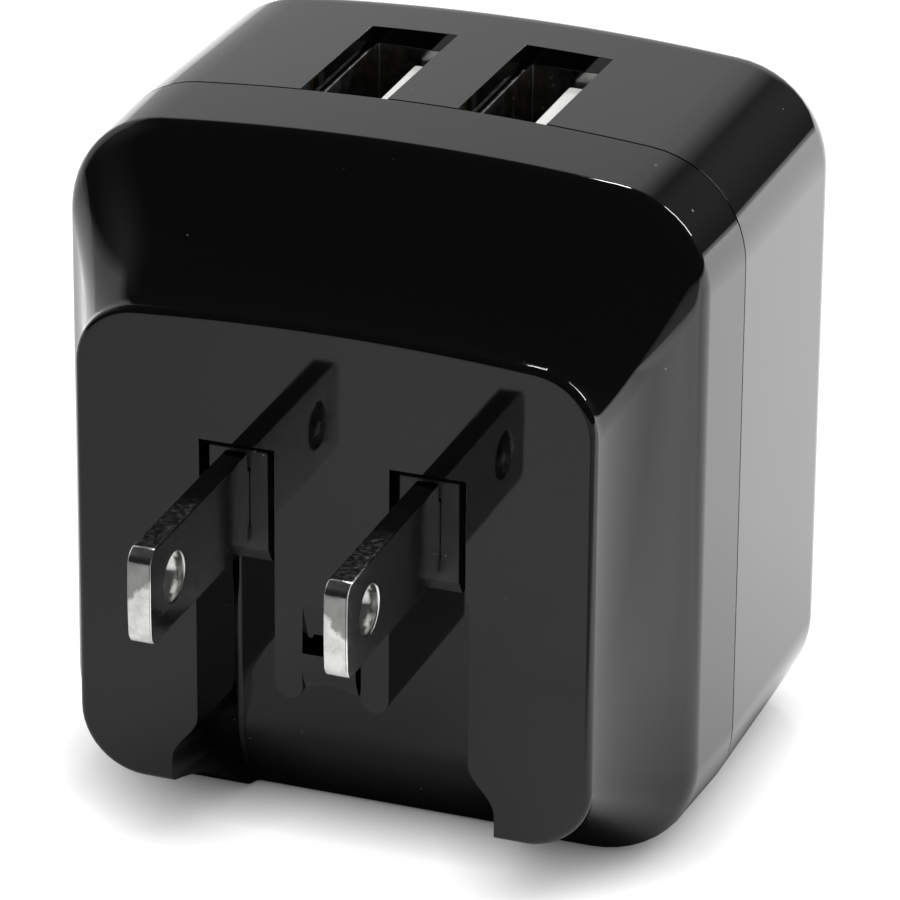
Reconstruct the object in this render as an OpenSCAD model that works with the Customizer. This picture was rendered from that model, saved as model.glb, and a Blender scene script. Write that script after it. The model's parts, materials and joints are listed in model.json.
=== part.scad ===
// Wall charger with two USB sockets on top and a two-blade plug that folds into its face.
// +Z is up and the blades point to -Y. The origin is on the surface that the charger stands on,
// under the middle of its bounding box. The modules draw from the plug face, y = 0, backwards.

/* [Body] */
// Width of the body at the parting line
body_w = 43.1; // [41:0.1:48]
// Height of the body at its middle
body_h = 47; // [46:0.1:52]
// Depth from the plug face to the back
body_d = 36.6; // [36:0.1:42]
// Depth from the plug face to the parting line
parting_d = 15.8; // [15:0.1:17]
// Depth from the plug face to the crease round the front
crease_d = 8.9; // [8:0.1:10.5]
// Radius of the body's four long edges
corner_r = 7; // [5:0.1:8]
// Radius of the crowned top
crown_r = 165; // [120:5:300]
// Wall of both shells
wall = 1.8; // [1.6:0.1:2.2]
// Radius round the back face
back_r = 4; // [3:0.1:5]
// How much each side of the front shell draws in from parting line to crease
front_draft = 0.3; // [0.1:0.05:0.6]
// How much the top of the rear shell drops towards the back
back_drop = 0.4; // [0:0.05:0.8]
// Width of the lip that joins the two shells
lip_w = 0.7; // [0.5:0.05:0.9]
// How far the lip reaches into the front shell
lip_d = 1.2; // [0.8:0.1:1.6]

/* [Plug face] */
// Width of the raised plug face
face_w = 34.6; // [32:0.1:36]
// Height of the plug face's lower edge
face_low = 4.6; // [3:0.1:6]
// Height of the plug face's upper edge at its middle
face_top = 37.9; // [35:0.1:40]
// Corner radius of the plug face
face_r = 4.4; // [3:0.1:6]
// How far the plug face stands proud of the sloping front
face_step = 0.8; // [0.6:0.1:1.2]
// Rounding of the plug face's edge
face_edge = 0.4; // [0.2:0.05:0.5]
// Width of the island between the blade slots
island_w = 7.66; // [7:0.02:8]
// Width of the channel that the blades fold into
channel_w = 18.3; // [18:0.1:19]
// Depth of the channel
channel_d = 6.9; // [6.8:0.05:7.2]
// Radius on which the channel floor curves back at the bottom
floor_r = 22; // [20:0.5:26]
// Height of the island's lower end
island_low = 12.1; // [11:0.1:13]
// How far the channel flares at the bottom, each side
flare_w = 2.05; // [1:0.05:2.4]
// Height where the flare starts
flare_top = 9.6; // [8.6:0.1:10.4]
// Height where the flare ends
flare_low = 6.4; // [5.6:0.1:7]

/* [Plug] */
// Distance between the two blades
blade_pitch = 12.7; // [12.7]
// Width of a blade
blade_w = 6.35; // [6.35]
// Thickness of a blade
blade_t = 1.52; // [1.4:0.01:1.6]
// How far the blades stand out of the plug face
blade_out = 15.8; // [15.2:0.1:17]
// Distance from the plug face to the holes in the blades
hole_out = 11.95; // [11.8:0.05:12]
// Diameter of the holes in the blades
hole_d = 3.18; // [3:0.02:3.4]
// Height of the blades' middle
blade_z = 25.5; // [25:0.1:26]
// Depth of the pivot behind the plug face
pivot_d = 3.5; // [3.45:0.01:3.6]
// Width of each of the two windows round the blades
window_w = 5.04; // [4.9:0.02:5.2]
// Width of the carrier block round a blade
block_w = 4; // [3.6:0.05:4.2]
// Diameter of the carrier's end pins
pin_d = 2.8; // [2.4:0.1:3]
// Radial running clearance of the end pins
pin_gap = 0.05; // [0.03:0.01:0.1]
// Diameter of the barrel behind the blocks
barrel_d = 5; // [4.6:0.1:5]
// Thickness of the brass contact springs
spring_t = 0.35; // [0.3:0.05:0.5]
// Width of the brass contact springs
spring_w = 1.8; // [1.4:0.1:2.4]

/* [Adapter latch] */
// Width of the latch
latch_w = 3.6; // [3.2:0.05:3.6]
// How far the latch's nose stands proud of the plug face
latch_nose = 0.5; // [0.3:0.05:0.8]
// Height of the latch's nose
nose_h = 2.7; // [2:0.1:3]
// Height of the gap above the nose
latch_slit = 0.7; // [0.5:0.05:1]
// Height of the sloping recess above the gap
recess_h = 2.4; // [2:0.1:3]
// Rise of the arch under the latch
latch_arch = 0.45; // [0.3:0.05:0.6]
// Depth from the plug face to the latch's arm
latch_arm_y = 1.7; // [1.5:0.1:2]
// Thickness of the latch's arm
latch_arm_t = 1.5; // [1.2:0.1:1.6]

/* [Sockets] */
// Distance between the two sockets
socket_pitch = 10.6; // [10.2:0.1:12]
// Width of the hole in the top, across the socket
port_w = 5.9; // [5.8:0.05:6.2]
// Length of the hole in the top, front to back
port_l = 12.8; // [12.7:0.05:13]
// Outer width of the metal socket shell
shell_w = 5.72; // [5.72]
// Outer length of the metal socket shell
shell_l = 13.1; // [13.1]
// Sheet thickness of the socket shell
shell_t = 0.3; // [0.25:0.05:0.35]
// Height of a socket above its board
socket_h = 14.4; // [13.6:0.1:15]
// How far the socket's rim lies below the top
rim_sink = 1.35; // [1.2:0.05:1.6]
// Thickness of the white contact tongue
tongue_t = 1.84; // [1.7:0.02:2]
// Width of the white contact tongue
tongue_w = 11.1; // [10.8:0.1:11.3]
// How far the tongue lies below the rim
tongue_sink = 0.9; // [0.6:0.1:1.4]

/* [Electronics] */
// Thickness of the main board
board_t = 1.6; // [1:0.1:1.8]
// Thickness of the socket board
socket_board_t = 1.2; // [1:0.1:1.6]
// Side of the square transformer core
core_w = 16; // [13:0.5:17]
// Depth of the transformer over the board
core_d = 14; // [11:0.5:15]
// Diameter of the input capacitors
input_cap_d = 6.3; // [5:0.1:6.6]
// Length of the input capacitors
input_cap_l = 12; // [9:0.5:14]
// Diameter of the output capacitors
output_cap_d = 6.3; // [5:0.1:6.6]
// Length of the output capacitors
output_cap_l = 9; // [7:0.5:11]
// Diameter of the lead wires over their insulation
lead_d = 1.4; // [1:0.1:1.6]

/* [Hidden] */
$fn = 48;

thin = 0.01;                              // thickness of a hull's slices
over = 1;                                 // how far a cutter runs past a face
gap = 0.15;                               // clearance beside a part that moves
edge_n = 7;                               // steps in a corner arc
half_w = body_w / 2;
plug_y = (blade_out - body_d) / 2;        // the plug face in the part's own frame
crease_r = 0.9;                           // softening of the crease

// channel and windows
window_out = blade_pitch / 2 + window_w / 2;
window_in = island_w / 2;
window_up = 3.6;                          // from the blades' middle to the window's upper edge
window_down = 4.75;                       // and to its lower edge
window_top = blade_z + window_up;
window_low = blade_z - window_down;
floor_top = window_low - 0.4;             // the channel floor ends below the windows
trough_t = 1.2;                           // wall of the channel
trough_w = channel_w + 2 * (flare_w + trough_t);
seat_d = 6.35;                            // depth of the wall above the windows

// carrier, in its own frame round the pivot
block_up = window_up - 0.5;               // the block's top edge above the pivot
block_down = 4.35;                        // and its bottom edge below it
block_back = 0.5;                         // rear face of the block in front of the pivot
block_chamfer = 0.7;                      // chamfer under the block
shank_w = 4;                              // height of a blade inside its block
tail_back = seat_d - gap - pivot_d;       // the blade's tail behind the pivot
cheek_t = 2.2;                            // bearing wall beside each window
bearing_end = 0.3;                        // what is left of that wall outside the bearing
collar_d = pin_d + 1.4;                   // thrust collar on each end pin
barrel_step = 0.5;                        // how much the barrel is thinner between the blocks
detent_y = pivot_d + barrel_d / 2 - barrel_step + gap;  // front of the detent leaf
detent_w = island_w - 2;                  // its width
detent_up = 1.5;                          // its end above the pivot

// contact springs, hung above the windows
peg_d = 1.2;
peg_z = window_top + 1.5;
seat_top = window_top + 3;                // top of the wall they hang on
peg_head = 0.4;                           // how far a peg stands out behind the spring
solder_tab = 3;                           // length of the tab that takes a lead

// latch
latch_low = island_low + 0.9;
slit_low = latch_low + nose_h;
slit_top = slit_low + latch_slit;
recess_top = slit_top + recess_h;
latch_back = latch_arm_y + latch_arm_t;
shoulder = 0.6;                           // how far the arm's shoulders stand out each side
arm_top = recess_top + 1.4;               // upper end of the arm

// sockets
socket_x = socket_pitch / 2;
socket_y = parting_d + shell_l / 2 + 0.05;  // clear of the front shell's edge
port_play = 0.1;                          // clearance of a socket in the shells
rim_z = body_h - rim_sink - 0.25;         // 0.25 for the crown and the draft
shell_r = 0.5;                            // corner radius of the socket shell
insert_h = 2.4;                           // height of the insulator's floor
shell_floor = 1;                          // height of the shell's closed bottom
finger_y = 2.8;                           // slots for the spring fingers, off the middle
finger_w = 1.8;
finger_l = 4.5;
finger_low = 8;                           // their lower end below the rim
socket_z = rim_z - socket_h;              // top face of the socket board
tongue_x = 1.1;                           // the tongue lies off the socket's middle
contact_n = 4;
contact_pitch = 2.3;
contact_w = 1;
contact_t = 0.25;

// boards
board_back = body_d - wall - 1;           // rear face of the main board
board_y = board_back - board_t;           // front face of the main board
board_w = body_w - 2 * wall - 3;
board_low = wall + 1.4;
board_top = socket_z + 10;
board_corner = 2.6;                       // cut off each corner of the main board
pin_pitch = 2.54;                         // pins between the two boards
pin_w = 0.64;
pin_reach = 2.2;
board_post = 3.6;                         // diameter of the posts behind the main board
leg_d = 0.6;                              // wire legs of parts that stand off the board
choke_d = 6.4;
choke_z = board_low + choke_d / 2 + 1;
socket_board_w = socket_pitch + shell_w + 3;
core_z = board_low + core_w / 2 + 2.6;    // middle of the transformer
core_t = 3;                               // thickness of the core's limbs
core_lift = 1.5;                          // the core stands off the board on its pins
flange = 0.8;                             // how far the bobbin stands out each side of the core
cap_x = core_w / 2 + 1.2 + input_cap_d / 2;
spring_r = 1.1;                           // the latch spring's mean radius
spring_wire = 0.3;
fit = 0.02;                               // clearance of parts pushed into each other
// The leads' route from the contact springs to the main board
lead_route = [[0, 0, 0], [0, 2, -0.2], [2.5, 3.6, -1.5], [6, 4.4, -4.5], [9, 5.2, -9], [10.6, 7.5, -14],
              [11, 11, -18.5], [11, 15, -21.5], [10.6, 18.6, -23]];

// Points on an arc from angle a to angle b, in n steps
function arc(x, z, r, a, b, n) =
    [for (i = [0:n]) [x + r * cos(a + (b - a) * i / n), z + r * sin(a + (b - a) * i / n)]];

// The body's outline from the front: half width, bottom, top at the middle, corner radius, all
// drawn in by s. The top is an arc that runs tangentially into both corners.
function outline(hw, z0, z1, r, s = 0) =
    let (w = hw - s, rr = r - s, low = z0 + s, high = z1 - s, cr = crown_r - s,
         m = cr - rr, cz = high - cr, t = acos((w - rr) / m), zc = cz + m * sin(t),
         crown = arc(0, cz, cr, t, 180 - t, 6))
    concat(arc(w - rr, low + rr, rr, -90, 0, edge_n),
           arc(w - rr, zc, rr, 0, t, edge_n),
           [for (i = [1:5]) crown[i]],
           arc(rr - w, zc, rr, 180 - t, 180, edge_n),
           arc(rr - w, low + rr, rr, 180, 270, edge_n));

// A rectangle round the point x, y with rounded corners
function rounded(x, y, w, l, r) = concat(
    arc(x + w / 2 - r, y + l / 2 - r, r, 0, 90, 4), arc(x - w / 2 + r, y + l / 2 - r, r, 90, 180, 4),
    arc(x - w / 2 + r, y - l / 2 + r, r, 180, 270, 4), arc(x + w / 2 - r, y - l / 2 + r, r, 270, 360, 4));

function parting_outline(s = 0) = outline(half_w, 0, body_h, corner_r, s);
function crease_outline(s = 0) =
    outline(half_w - front_draft, front_draft, body_h - front_draft / 3, corner_r - front_draft, s);
function face_outline(s = 0) = outline(face_w / 2, face_low, face_top, face_r, s);
function back_outline(s = 0) = outline(half_w - back_drop / 3, 0, body_h - back_drop, corner_r, s);

// Depth of the channel floor at height z
function floor_y(z) = z >= island_low ? channel_d
    : channel_d + floor_r - sqrt(pow(floor_r, 2) - pow(island_low - z, 2));
function floor_points(z0, dy) = [for (i = [8:-1:0]) let (z = z0 + (island_low - z0) * i / 8)
    [floor_y(z) + dy, z]];

// Puts a drawing from the plug face into the part's frame
module place() translate([0, plug_y, 0]) children();

// A flat slab with the outline p in X and Z, from depth y to y + t
module slab(p, y, t) translate([0, y + t, 0]) rotate([90, 0, 0]) linear_extrude(t) polygon(p);

// A bar along X with the profile p in Y and Z, from x0 to x1
module bar(p, x0, x1) translate([x0, 0, 0]) rotate([90, 0, 90]) linear_extrude(x1 - x0) polygon(p);

// A box between two corners
module box(a, b) translate(a) cube(b - a);

// A round bar along X or Y
module round_x(x0, x1, y, z, d) translate([x0, y, z]) rotate([0, 90, 0]) cylinder(d = d, h = x1 - x0);
module round_y(x, y0, y1, z, d) translate([x, y0, z]) rotate([-90, 0, 0]) cylinder(d = d, h = y1 - y0);

// Copies its children at x and mirrored at -x
module both() {
    children();
    mirror([1, 0, 0]) children();
}

// ---- shells ----

// The raised plug face, its edge rounded over
module face_plate() hull() {
    slab(face_outline(face_edge), 0, thin);
    slab(face_outline(face_edge * 0.3), face_edge * 0.3, thin);
    slab(face_outline(), face_edge, face_step + thin - face_edge);
}

module front_solid() hull() {
    slab(face_outline(), face_step, thin);
    slab(crease_outline(crease_r / 2), crease_d - crease_r, thin);
    slab(crease_outline(), crease_d, thin);
    slab(parting_outline(), parting_d - thin, thin);
}

module front_hollow() hull() {
    slab(face_outline(wall), face_step + wall, thin);
    slab(crease_outline(wall), crease_d + wall / 3, thin);
    slab(parting_outline(wall), parting_d, over);
}

// The channel's walls, seen from the side
module trough_solid() intersection() {
    union() {
        front_solid();
        face_plate();
    }
    union() {
        bar(concat([[0, 0], [0, floor_top]], [[channel_d + trough_t, floor_top]],
                   floor_points(0, trough_t)), -trough_w / 2, trough_w / 2);
        box([-trough_w / 2, 0, floor_top - thin], [trough_w / 2, seat_d, seat_top]);
        both() box([window_out, 0, window_low], [window_out + cheek_t, channel_d + trough_t,
                                                window_top + trough_t]);
    }
}

// The island between the slots ends in two round-ended strips beside the latch
module island_2d() {
    strip_w = (island_w - latch_w) / 2 - gap;
    translate([-island_w / 2, latch_low + nose_h / 2])
        square([island_w, window_low - latch_low]);
    for (s = [-1, 1]) translate([s * (island_w - strip_w) / 2, island_low + strip_w / 2]) {
        circle(d = strip_w);
        translate([-strip_w / 2, 0]) square([strip_w, nose_h]);
    }
}

// The channel from the front: straight walls that flare in an S at the mouth
module mouth_2d() {
    steps = 10;
    both() polygon(concat([[0, -over], [0, window_low], [channel_w / 2, window_low]],
        [for (i = [0:steps]) [channel_w / 2 + flare_w * (1 - cos(180 * i / steps)) / 2,
                              flare_top - (flare_top - flare_low) * i / steps]],
        [[channel_w / 2 + flare_w, -over]]));
}

module channel_cut() difference() {
    intersection() {
        bar(concat([[-over, -over], [-over, window_low], [channel_d, window_low]],
                   floor_points(-over, 0)), -body_w, body_w);
        translate([0, body_d, 0]) rotate([90, 0, 0]) linear_extrude(2 * body_d) mouth_2d();
    }
    translate([0, body_d, 0]) rotate([90, 0, 0]) linear_extrude(body_d + over) island_2d();
}

// Windows, the way behind them, the pivot's bearings and the barrel's tunnel
module carrier_cut() {
    both() {
        box([window_in, -over, window_low - thin], [window_out, body_d, window_top]);
        round_x(window_out - over, window_out + cheek_t - bearing_end, pivot_d, blade_z, pin_d + 2 * pin_gap);
        box([window_out - over, pivot_d, blade_z - pin_d / 2 - pin_gap],
            [window_out + cheek_t - bearing_end, body_d, blade_z + pin_d / 2 + pin_gap]);
    }
    tunnel = barrel_d / 2 - barrel_step + gap;
    round_x(-window_in - over, window_in + over, pivot_d, blade_z, 2 * tunnel);
    box([-window_in - over, pivot_d, blade_z - tunnel], [window_in + over, body_d, blade_z + tunnel]);
    box([-detent_w / 2 - gap, detent_y - gap, floor_top],
        [detent_w / 2 + gap, body_d, blade_z + detent_up + gap]);
}

module latch_cut() {
    w = latch_w + 2 * gap;
    box([-w / 2, -over, latch_low - over], [w / 2, latch_arm_y, slit_top]);
    bar([[-thin, recess_top], [-over, recess_top], [-over, slit_top - thin],
         [latch_arm_y - 0.5, slit_top - thin]], -w / 2, w / 2);
    box([-w / 2 - shoulder, latch_arm_y - gap, latch_low + nose_h / 2],
        [w / 2 + shoulder, channel_d, arm_top + gap]);
    box([-w / 2, -over, latch_low - over], [w / 2, channel_d, latch_low + nose_h]);
}

module port_cut() both() {
    x0 = socket_x - port_w / 2;
    box([x0, parting_d - thin, rim_z - over], [x0 + port_w, parting_d + port_l, body_h + over]);
    w = shell_w / 2 + port_play;
    box([socket_x - w, parting_d - 2 * over, socket_z],
        [socket_x + w, socket_y + shell_l / 2 + port_play, rim_z]);
}

module front_shell() color("#17181a") place() difference() {
    union() {
        difference() {
            front_solid();
            front_hollow();
            slab(parting_outline(wall - lip_w - 0.05), parting_d - lip_d - 0.1, lip_d + over);
        }
        face_plate();
        trough_solid();
        both() round_y(blade_pitch / 2, seat_d - thin, seat_d + spring_t + peg_head, peg_z, peg_d);
    }
    channel_cut();
    carrier_cut();
    latch_cut();
}

module rear_solid(s) hull() {
    start = s > 0 ? parting_d - over : parting_d;
    slab(parting_outline(s), start, thin);
    for (a = [0:18:90])
        slab(back_outline(s + (back_r - s) * (1 - cos(a))),
             body_d - back_r + (back_r - s) * sin(a) - thin, thin);
}

module rear_shell() color("#17181a") place() difference() {
    union() {
        difference() {
            rear_solid(0);
            rear_solid(wall);
        }
        difference() {
            slab(parting_outline(wall - lip_w), parting_d - lip_d, lip_d + 0.5);
            slab(parting_outline(wall), parting_d - over - lip_d, 2 * lip_d + over);
        }
        for (x = [-1, 1], z = [board_low + board_post, board_top - board_post])
            round_y(x * (board_w / 2 - board_post), board_back, body_d - wall / 2, z, board_post);
    }
    port_cut();
}

// ---- folding plug ----

module carrier_block() {
    d = pivot_d;
    bar([[0, blade_z + block_up], [0, blade_z - block_down + block_chamfer],
         [block_chamfer, blade_z - block_down], [d - block_back, blade_z - block_down],
         [d - block_back, blade_z - 1], [d + block_back, blade_z], [d + block_back, blade_z + block_up]],
        blade_pitch / 2 - block_w / 2, blade_pitch / 2 + block_w / 2);
    round_x(blade_pitch / 2 - block_w / 2, blade_pitch / 2 + block_w / 2, d, blade_z, barrel_d);
}

module blade_carrier() color("#222326") place() difference() {
    edge = blade_pitch / 2 + block_w / 2;
    union() {
        both() {
            carrier_block();
            round_x(edge - thin, window_out - gap, pivot_d, blade_z, collar_d);
            round_x(edge - thin, window_out + cheek_t - bearing_end - gap, pivot_d, blade_z, pin_d);
        }
        round_x(-blade_pitch / 2, blade_pitch / 2, pivot_d, blade_z, barrel_d - 2 * barrel_step);
    }
    both() {
        x = blade_pitch / 2 - blade_t / 2;
        box([x, -over, blade_z - shank_w / 2], [x + blade_t, seat_d, blade_z + shank_w / 2]);
    }
}

// A blade with bevelled tip corners, a hole, and a narrower shank inside the carrier
module blade(x) {
    tip = 1.1;
    bevel = 0.45;
    w = blade_w / 2;
    difference() {
        intersection() {
            bar([[-blade_out, blade_z - w + tip], [tip - blade_out, blade_z - w], [0, blade_z - w],
                 [0, blade_z - shank_w / 2], [pivot_d, blade_z - shank_w / 2],
                 [pivot_d, blade_z + shank_w / 2], [0, blade_z + shank_w / 2],
                 [0, blade_z + w], [tip - blade_out, blade_z + w], [-blade_out, blade_z + w - tip]],
                x - blade_t / 2, x + blade_t / 2);
            translate([x, 0, blade_z - blade_w]) linear_extrude(2 * blade_w)
                polygon([[bevel - blade_t / 2, -blade_out], [-blade_t / 2, 2 * bevel - blade_out],
                         [-blade_t / 2, body_d], [blade_t / 2, body_d],
                         [blade_t / 2, 2 * bevel - blade_out], [blade_t / 2 - bevel, -blade_out]]);
        }
        round_x(x - over, x + over, -hole_out, blade_z, hole_d);
    }
    intersection() {
        round_x(x - blade_t / 2, x + blade_t / 2, pivot_d, blade_z, 2 * tail_back);
        box([x - blade_t, pivot_d - over, blade_z - shank_w / 2],
            [x + blade_t, seat_d, blade_z + shank_w / 2]);
    }
}

module blade_left() color("#c9c8c4") place() blade(-blade_pitch / 2);
module blade_right() color("#c9c8c4") place() blade(blade_pitch / 2);

// Closes a bearing from behind
module pivot_cap() {
    x0 = window_out + gap;
    x1 = window_out + cheek_t - bearing_end - pin_gap;
    back = channel_d + trough_t;
    difference() {
        box([x0, pivot_d, blade_z - pin_d / 2], [x1, back + thin, blade_z + pin_d / 2]);
        round_x(x0 - over, x1 + over, pivot_d, blade_z, pin_d + 2 * pin_gap);
    }
    box([x0, back, blade_z - pin_d], [window_out + cheek_t, back + 1, blade_z + pin_d]);
}

module pivot_cap_left() color("#303134") place() mirror([1, 0, 0]) pivot_cap();
module pivot_cap_right() color("#303134") place() pivot_cap();

// A brass strip that the blade's tail meets, hung on a peg above the window
module contact_spring() {
    x = blade_pitch / 2;
    difference() {
        box([x - spring_w / 2, seat_d, blade_z + block_back],
            [x + spring_w / 2, seat_d + spring_t, seat_top]);
        round_y(x, seat_d - over, seat_d + over, peg_z, peg_d + 2 * pin_gap);
    }
    box([x - spring_w / 2, seat_d, seat_top - spring_t], [x + spring_w / 2, seat_d + solder_tab, seat_top]);
}

module contact_spring_left() color("#c9a04a") place() mirror([1, 0, 0]) contact_spring();
module contact_spring_right() color("#c9a04a") place() contact_spring();

// A bent leaf behind the island that presses on the barrel and holds the plug open or shut
module detent_spring() color("#b9bcc0") place() {
    w = detent_w / 2;
    box([-w, detent_y, floor_top], [w, detent_y + spring_t, blade_z + detent_up]);
    box([-w, detent_y, floor_top], [w, channel_d + trough_t, floor_top + spring_t]);
}

// ---- adapter latch ----

// The nose slopes up from below and drops off square above, and the arm's shoulders hold it in
module adapter_latch() color("#1b1c1e") place() {
    w = latch_w / 2;
    difference() {
        bar([[latch_arm_y, latch_low], [0, latch_low], [-latch_nose * 0.6, latch_low + nose_h * 0.3],
             [-latch_nose, latch_low + nose_h * 0.6], [-latch_nose, slit_low], [latch_arm_y, slit_low]],
            -w, w);
        r = (pow(w, 2) + pow(latch_arch, 2)) / (2 * latch_arch);
        round_y(0, -over - latch_nose, latch_arm_y + over, latch_low + latch_arch - r, 2 * r);
    }
    box([-w, latch_arm_y - thin, latch_low + nose_h / 2], [w, latch_back, slit_low]);
    box([-w - shoulder + gap, latch_arm_y, latch_low + nose_h], [w + shoulder - gap, latch_back, arm_top]);
}

// A small compression spring between the latch and the channel wall
module latch_spring() color("#b9bcc0") place()
    translate([0, latch_back + spring_wire / 2, (latch_low + nose_h + arm_top) / 2]) rotate([-90, 0, 0])
        coil(spring_r, channel_d - latch_back - spring_wire, 5, spring_wire);

// A helix of round wire: mean radius, length between the end turns' middles, turns, wire
module coil(r, h, turns, wire) {
    steps = turns * 16;
    sides = 8;
    rings = [for (i = [0:steps]) let (a = 360 * turns * i / steps, z = h * i / steps)
        for (j = [0:sides - 1]) let (b = 360 * j / sides, rr = r + wire / 2 * cos(b))
            [rr * cos(a), rr * sin(a), z + wire / 2 * sin(b)]];
    tube(rings, steps, sides);
}

// Closes rings of points into a tube with flat ends
module tube(rings, steps, sides) polyhedron(rings, concat(
    [for (i = [0:steps - 1], j = [0:sides - 1], half = [0, 1])
        let (k = (j + 1) % sides, a = i * sides, b = a + sides)
        half == 0 ? [a + j, a + k, b + k] : [a + j, b + k, b + j]],
    [[for (j = [sides - 1:-1:0]) j], [for (j = [0:sides - 1]) steps * sides + j]]));

// ---- sockets ----

// The folded sheet-metal shell of a socket, with two slots in each long side for the spring fingers
module usb_shell(x) difference() {
    translate([0, 0, socket_z]) linear_extrude(rim_z - socket_z)
        polygon(rounded(x, socket_y, shell_w, shell_l, shell_r));
    translate([0, 0, socket_z + shell_floor]) linear_extrude(socket_h)
        polygon(rounded(x, socket_y, shell_w - 2 * shell_t, shell_l - 2 * shell_t, shell_r - shell_t));
    for (y = [-1, 1])
        box([x - shell_w, socket_y + y * finger_y - finger_w / 2, rim_z - finger_low],
            [x + shell_w, socket_y + y * finger_y + finger_w / 2, rim_z - finger_low + finger_l]);
}

module usb_shell_left() color("#b8babd") place() usb_shell(-socket_x);
module usb_shell_right() color("#b8babd") place() usb_shell(socket_x);

// The insulator: a floor in the shell and the white tongue that rises from it
module usb_tongue(x) {
    margin = shell_t + fit;
    translate([0, 0, socket_z + shell_floor]) linear_extrude(insert_h)
        polygon(rounded(x, socket_y, shell_w - 2 * margin, shell_l - 2 * margin, shell_r - shell_t));
    box([x + tongue_x - tongue_t / 2, socket_y - tongue_w / 2, socket_z + shell_floor],
        [x + tongue_x + tongue_t / 2, socket_y + tongue_w / 2, rim_z - tongue_sink]);
}

module usb_tongue_left() color("#e9e9e4") place() usb_tongue(-socket_x);
module usb_tongue_right() color("#e9e9e4") place() usb_tongue(socket_x);

// Four contact strips on the tongue
module usb_contacts(x) for (i = [0:contact_n - 1]) {
    y = socket_y + (i - (contact_n - 1) / 2) * contact_pitch;
    short = i == 0 || i == contact_n - 1 ? 1 : 2;
    box([x + tongue_x - tongue_t / 2 - contact_t, y - contact_w / 2, socket_z + shell_floor + insert_h],
        [x + tongue_x - tongue_t / 2, y + contact_w / 2, rim_z - tongue_sink - short]);
}

module usb_contacts_left() color("#d8b25a") place() usb_contacts(-socket_x);
module usb_contacts_right() color("#d8b25a") place() usb_contacts(socket_x);

module socket_board() color("#1d5c3a") place()
    box([-socket_board_w / 2, parting_d - 1, socket_z - socket_board_t],
        [socket_board_w / 2, board_y, socket_z]);

// Right-angle pins that join the socket board to the main board
module board_pins() color("#c9a04a") place() for (i = [-2:2]) {
    x = i * pin_pitch - pin_w / 2;
    box([x, board_y - pin_reach, socket_z], [x + pin_w, board_y - pin_reach + pin_w, socket_z + 2 * pin_w]);
    box([x, board_y - pin_reach, socket_z + pin_w], [x + pin_w, board_y, socket_z + 2 * pin_w]);
}

// Two charging controllers under the socket board
module charge_chips() color("#202124") place() both()
    box([socket_x - 2, parting_d + 3, socket_z - socket_board_t - 1.5],
        [socket_x + 2, parting_d + 8, socket_z - socket_board_t]);

// ---- main board and what it carries ----

module main_board() color("#1d5c3a") place() {
    w = board_w / 2;
    c = board_corner;
    slab([[c - w, board_low], [w - c, board_low], [w, board_low + c], [w, board_top - c],
          [w - c, board_top], [c - w, board_top], [-w, board_top - c], [-w, board_low + c]],
         board_y, board_t);
}

// Two E-shaped ferrite halves round the winding
module transformer_core() color("#3a3b3e") place() difference() {
    w = core_w / 2;
    box([-w, board_y - core_d, core_z - w], [w, board_y - core_lift, core_z + w]);
    box([-w - over, board_y - core_d + core_t, core_z - w + core_t],
        [w + over, board_y - core_lift - core_t, core_z + w - core_t]);
}

// The taped winding and its bobbin, with pins down to the board
module transformer_winding() color("#d9b62c") place() {
    w = core_w / 2 - core_t - fit;
    back = board_y - core_lift - core_t - fit;
    box([-core_w / 2 - flange, board_y - core_d + core_t + fit, core_z - w],
        [core_w / 2 + flange, back, core_z + w]);
    both() for (z = [-1, 1])
        round_y((core_w + flange) / 2, back - thin, board_y, core_z + z * (w - 1), leg_d);
}

// A radial capacitor standing on the board, with the crimp groove near its foot
module capacitor(x, z, d, l) difference() {
    round_y(x, board_y - l, board_y, z, d);
    translate([x, board_y - 1.6, z]) rotate([-90, 0, 0]) difference() {
        cylinder(d = d + over, h = 0.6);
        translate([0, 0, -over]) cylinder(d = d - 0.5, h = 1 + 2 * over);
    }
}

module input_capacitors() color("#24303f") place() for (z = [0, input_cap_d + 0.8])
    capacitor(-cap_x, choke_z + (choke_d + input_cap_d) / 2 + 0.4 + z, input_cap_d, input_cap_l);

module output_capacitors() color("#31503f") place() for (z = [0, output_cap_d + 0.8])
    capacitor(cap_x, choke_z + (choke_d + output_cap_d) / 2 + 0.4 + z, output_cap_d, output_cap_l);

// The blue disc capacitor that bridges the two sides
module safety_capacitor() color("#2f6fb4") place() {
    z = core_z + core_w / 2 + 2;
    translate([4.5, board_y - 4.5, z]) cylinder(d = 6.5, h = 2.4, center = true);
    for (s = [-1, 1]) round_y(4.5 + s * 1.8, board_y - 3, board_y, z, leg_d);
}

module fuse() color("#b9b4a6") place() {
    z = core_z + core_w / 2 + 2.4;
    round_x(-9, -2, board_y - 2, z, 2.6);
    for (x = [-8.4, -2.6]) round_y(x, board_y - 2, board_y, z, leg_d);
}

// A drum choke
module choke() color("#44454a") place()
    for (p = [[0, 1.4, choke_d], [1.4, 4.6, choke_d - 1.2], [4.6, 6, choke_d]])
        round_y(-cap_x, board_y - p[1], board_y - p[0], choke_z, p[2]);

module bridge_rectifier() color("#202124") place()
    box([-4, board_y - 1.6, board_low + 0.2], [0.8, board_y, board_low + 1.9]);

module controller_chip() color("#202124") place()
    box([cap_x - 2.5, board_y - 1.6, board_low + 0.8], [cap_x + 2.5, board_y, board_low + 4.8]);

module output_diode() color("#202124") place()
    box([cap_x - 2.3, board_y - 2.1, board_low + 5.4], [cap_x + 2.3, board_y, board_low + 7.4]);

module optocoupler() color("#e9e7df") place()
    box([2.4, board_y - 1.7, board_low + 0.1], [6.8, board_y, board_low + 1.9]);

function unit(v) = v / norm(v);
function along(p, i) = unit(p[min(i + 1, len(p) - 1)] - p[max(i - 1, 0)]);

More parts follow.
